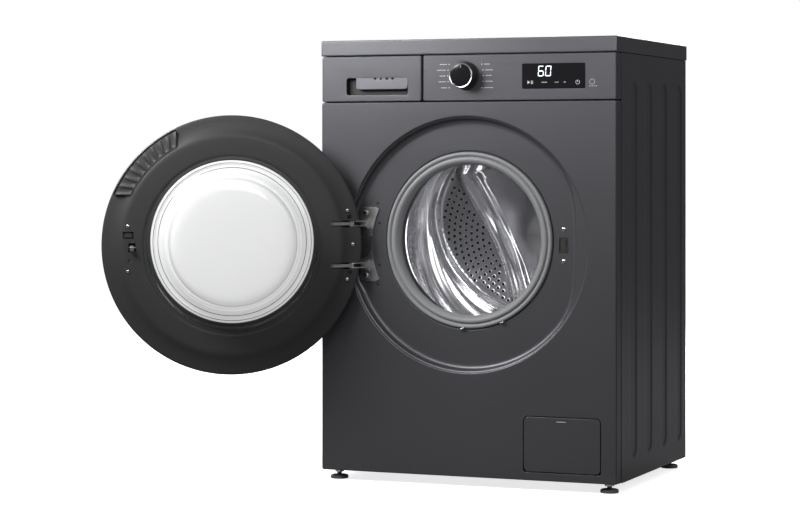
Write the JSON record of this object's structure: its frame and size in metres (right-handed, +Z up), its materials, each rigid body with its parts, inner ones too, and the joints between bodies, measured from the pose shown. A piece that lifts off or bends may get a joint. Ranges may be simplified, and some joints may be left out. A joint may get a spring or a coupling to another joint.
{
  "type": "front load washing machine",
  "caption": "Dark grey front load washing machine with its round door open, steel drum, grey gasket, detergent drawer, programme knob and touch display",
  "frame": {"origin": "floor plane, under the centre of the cabinet", "axes": "+X across the front to the machine's free side (away from the door's hinge), front faces -Y, +Z up"},
  "size_m": [0.9473, 0.7463, 0.85],
  "materials": {
    "painted_dark": "satin metallic dark grey paint",
    "painted_top": "satin metallic dark grey, slightly lighter",
    "dark_plastic": "fine matte dark grey plastic",
    "black_gloss": "polished black",
    "tinted_glass": "dark tinted, polished",
    "clear_glass": "clear, polished",
    "grey_rubber": "soft matte grey",
    "black_rubber": "matte black",
    "bright_steel": "bright plated steel",
    "zinc_steel": "zinc plated, satin",
    "drum_steel": "bright polished stainless steel",
    "cast_aluminium": "rough cast",
    "copper_winding": "lacquered copper windings",
    "concrete": "rough cast concrete",
    "white_plastic": "off-white moulded plastic",
    "blue_plastic": "blue moulded plastic",
    "board_green": "solder mask green",
    "foot_grey": "ribbed grey plastic pad on a zinc stud"
  },
  "bodies": {
    "cabinet": {"cabinet_wrap": "painted_dark", "rear_panel": "painted_dark", "rear_cover": "painted_dark", "rear_screws": "bright_steel", "base_pan": "dark_plastic", "front_panel": "painted_dark", "top_plate": "painted_top", "control_panel": "painted_dark", "display_window": "black_gloss", "control_board": "board_green", "dispenser_housing": "white_plastic", "water_valve": "white_plastic", "fill_hose": "black_rubber", "damper_tubes": "dark_plastic", "door_lock": "dark_plastic", "front_screws": "bright_steel", "hinge_bracket": "zinc_steel", "hinge_pins": "bright_steel", "drain_pump": "white_plastic", "drain_outlet": "white_plastic", "sump_hose": "black_rubber", "transit_caps": "dark_plastic", "cord_gland": "black_rubber", "foot_lock_nuts": "bright_steel", "gasket": "grey_rubber", "gasket_front_clamp": "bright_steel", "suspension_springs": "zinc_steel"},
    "door": {"door_frame": "dark_plastic", "door_cover": "dark_plastic", "door_window": "tinted_glass", "door_glass": "clear_glass", "hinge_arms": "zinc_steel", "door_screws": "bright_steel", "latch_pin": "bright_steel"},
    "latch": {"latch_hook": "zinc_steel"},
    "drawer": {"drawer_front": "painted_dark", "drawer_box": "white_plastic", "siphon_cap": "blue_plastic"},
    "knob": {"program_knob": "black_gloss"},
    "flap": {"filter_flap": "painted_dark"},
    "filter": {"drain_filter": "blue_plastic"},
    "tub": {"tub_front": "white_plastic", "tub_rear": "white_plastic", "counterweights": "concrete", "stator": "copper_winding", "bearings": "bright_steel", "heater": "bright_steel", "damper_rods": "bright_steel", "gasket_rear_clamp": "bright_steel"},
    "drum": {"drum_shell": "drum_steel", "drum_front_ring": "drum_steel", "drum_back": "drum_steel", "lifters": "drum_steel", "spider": "cast_aluminium", "drum_shaft": "bright_steel", "rotor": "zinc_steel"},
    "foot_fl": {"foot_front_left": "foot_grey"},
    "foot_fr": {"foot_front_right": "foot_grey"},
    "foot_rl": {"foot_rear_left": "foot_grey"},
    "foot_rr": {"foot_rear_right": "foot_grey"}
  },
  "joints": [
    {"name": "door_hinge", "type": "hinge", "parent": "cabinet", "child": "door", "pos_m": [-0.229, -0.246, 0.457], "axis": [0, 0, 1], "range_deg": [-2, 152]},
    {"name": "latch_pivot", "type": "hinge", "parent": "door", "child": "latch", "pos_m": [-0.5905, -0.4586, 0.453], "axis": [-0.8829, -0.4695, 0], "range_deg": [0, 8], "stiffness_Nm_per_rad": 0.4, "springref_deg": -8.59},
    {"name": "drawer_slide", "type": "slide", "parent": "cabinet", "child": "drawer", "axis": [0, -1, 0], "range_m": [0, 0.15]},
    {"name": "knob_turn", "type": "hinge", "parent": "cabinet", "child": "knob", "pos_m": [0, -0.23, 0.779], "axis": [0, 1, 0], "continuous": true},
    {"name": "flap_hinge", "type": "hinge", "parent": "cabinet", "child": "flap", "pos_m": [0.192, -0.227, 0.0395], "axis": [1, 0, 0], "range_deg": [0, 90]},
    {"name": "filter_turn", "type": "hinge", "parent": "cabinet", "child": "filter", "pos_m": [0.196, -0.214, 0.092], "axis": [0, 1, 0], "range_deg": [0, 90]},
    {"name": "tub_float", "type": "slide", "parent": "cabinet", "child": "tub", "axis": [0, 0, 1], "range_m": [-0.006, 0.006], "deforming": ["suspension_springs", "sump_hose", "gasket"]},
    {"name": "drum_spin", "type": "hinge", "parent": "tub", "child": "drum", "pos_m": [0, 0, 0.467], "axis": [0, 1, 0], "continuous": true},
    {"name": "foot_front_left_level", "type": "slide", "parent": "cabinet", "child": "foot_fl", "axis": [0, 0, 1], "range_m": [-0.01, 0]},
    {"name": "foot_front_right_level", "type": "slide", "parent": "cabinet", "child": "foot_fr", "axis": [0, 0, 1], "range_m": [-0.01, 0]},
    {"name": "foot_rear_left_level", "type": "slide", "parent": "cabinet", "child": "foot_rl", "axis": [0, 0, 1], "range_m": [-0.01, 0]},
    {"name": "foot_rear_right_level", "type": "slide", "parent": "cabinet", "child": "foot_rr", "axis": [0, 0, 1], "range_m": [-0.01, 0]}
  ]
}
